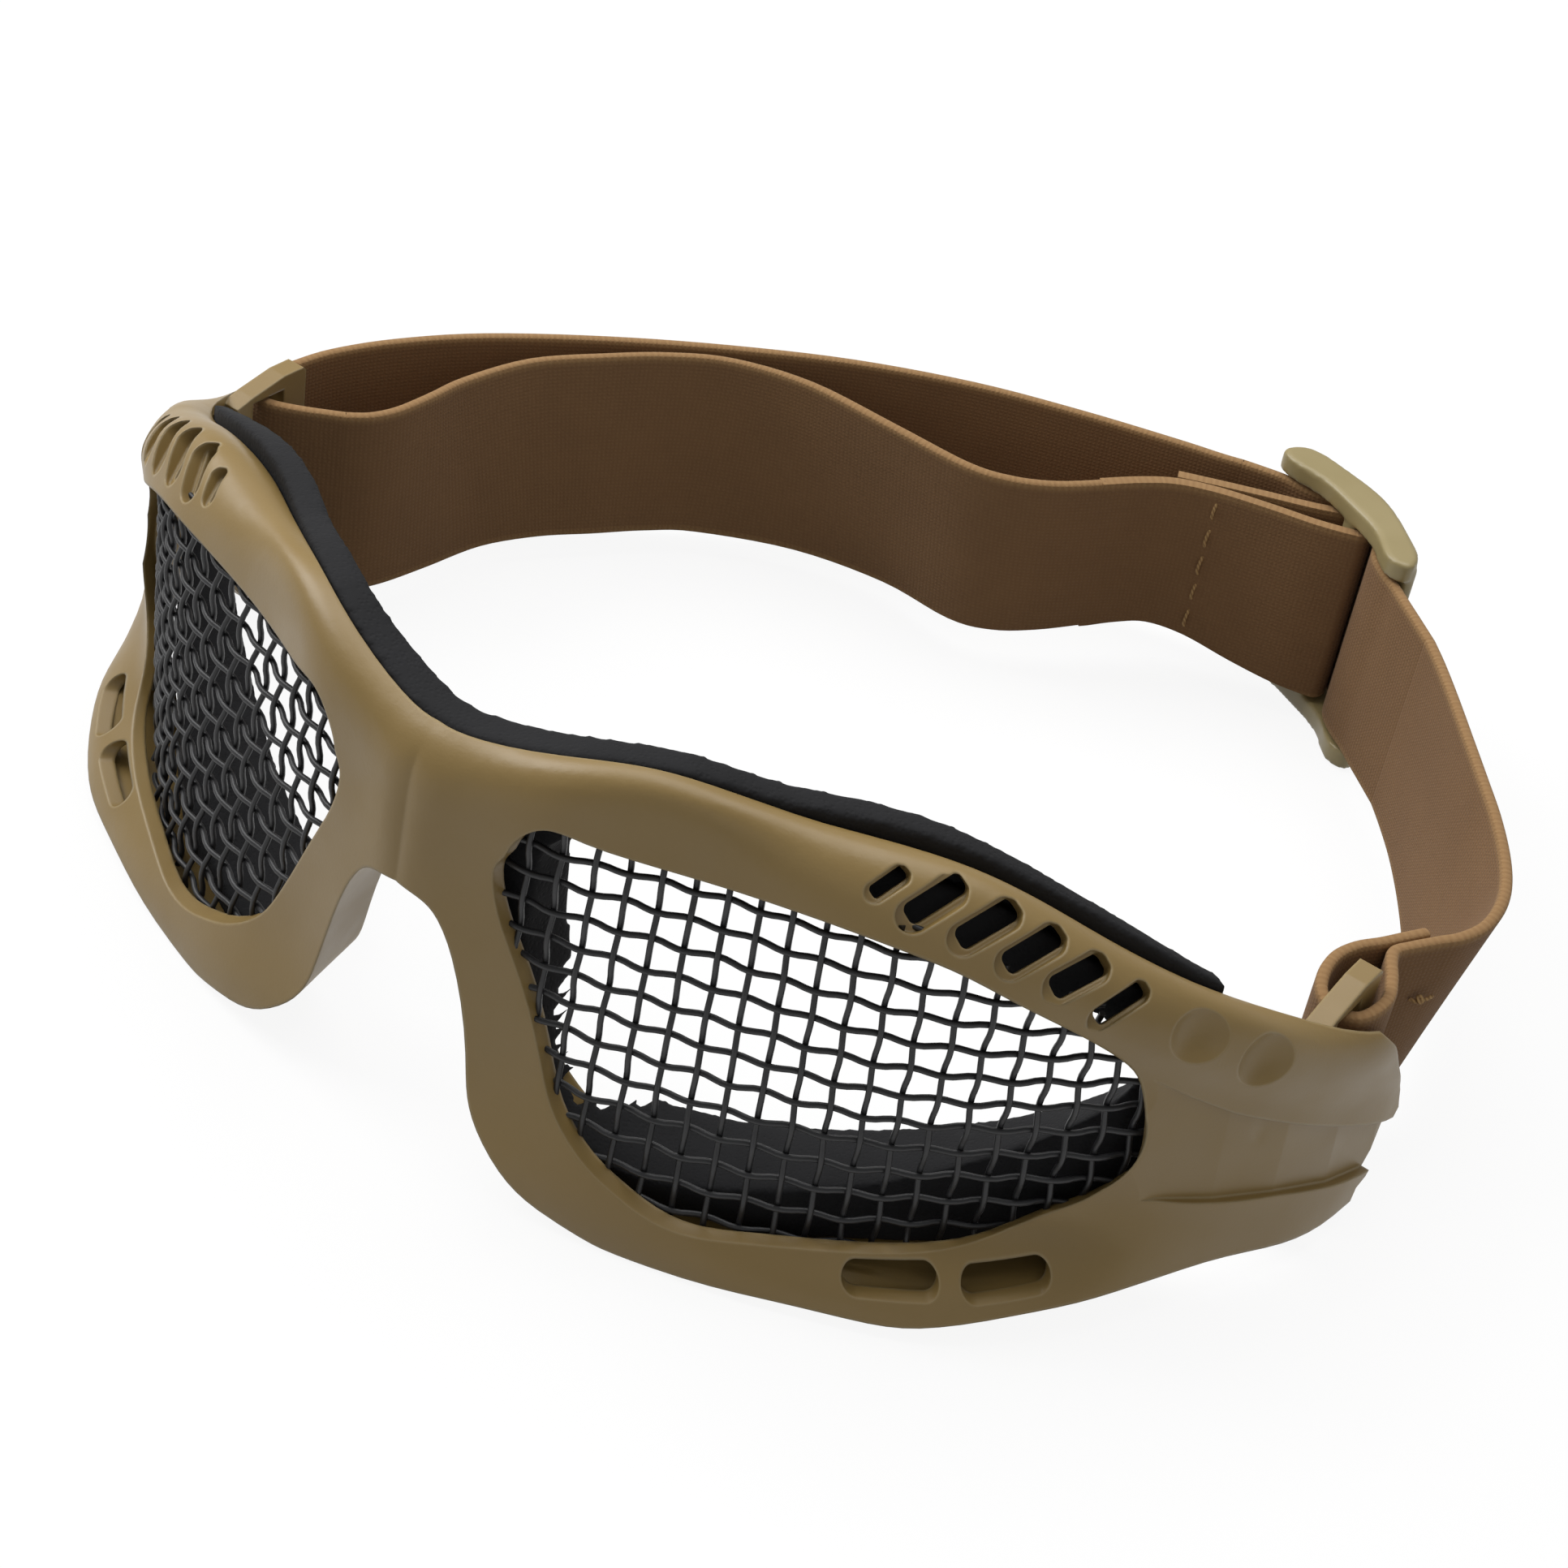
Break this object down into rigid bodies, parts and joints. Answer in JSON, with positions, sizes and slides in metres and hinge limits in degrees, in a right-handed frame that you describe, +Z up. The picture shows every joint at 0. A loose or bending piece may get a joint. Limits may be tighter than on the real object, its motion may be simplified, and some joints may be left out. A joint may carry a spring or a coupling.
{
  "type": "mesh safety goggles",
  "caption": "Wrap-round protective goggles with woven wire mesh lenses, a moulded vented frame, foam face gasket and adjustable elastic strap with slider.",
  "frame": {"origin": "on the surface the goggles stand on, in the frame's plane of symmetry, midway between the lens face and the back of the strap", "axes": "+X to the side that is on the right in a front view, which is the wearer's left; +Y from the lenses back to the strap; +Z up from the nose edge to the brow"},
  "size_m": [0.178, 0.1608, 0.0569],
  "materials": {
    "frame": "satin moulded tan plastic",
    "mesh": "black coated woven wire",
    "foam": "soft matt black foam",
    "webbing": "woven elastic webbing",
    "slider": "smooth tan plastic",
    "thread": "sewing thread"
  },
  "bodies": {
    "goggles": {"frame_shell": "frame", "left_mesh_lens": "mesh", "right_mesh_lens": "mesh", "foam_gasket": "foam"},
    "strap": {"strap_right_run": "webbing", "strap_slider_pass": "webbing", "strap_outer_run": "webbing", "strap_inner_run": "webbing", "anchor_knot": "thread"},
    "slider": {"slider": "slider", "slider_end_loop": "webbing", "slider_stitches": "thread"}
  },
  "joints": [
    {"name": "strap_swing", "type": "hinge", "parent": "goggles", "child": "strap", "pos_m": [0, -0.0127, 0.017], "axis": [1, 0, 0], "range_deg": [0, 6]},
    {"name": "slider_slide", "type": "slide", "parent": "strap", "child": "slider", "axis": [0.8462, -0.5329, 0], "range_m": [0, 0.008], "deforming": ["strap_slider_pass", "strap_inner_run"]}
  ]
}
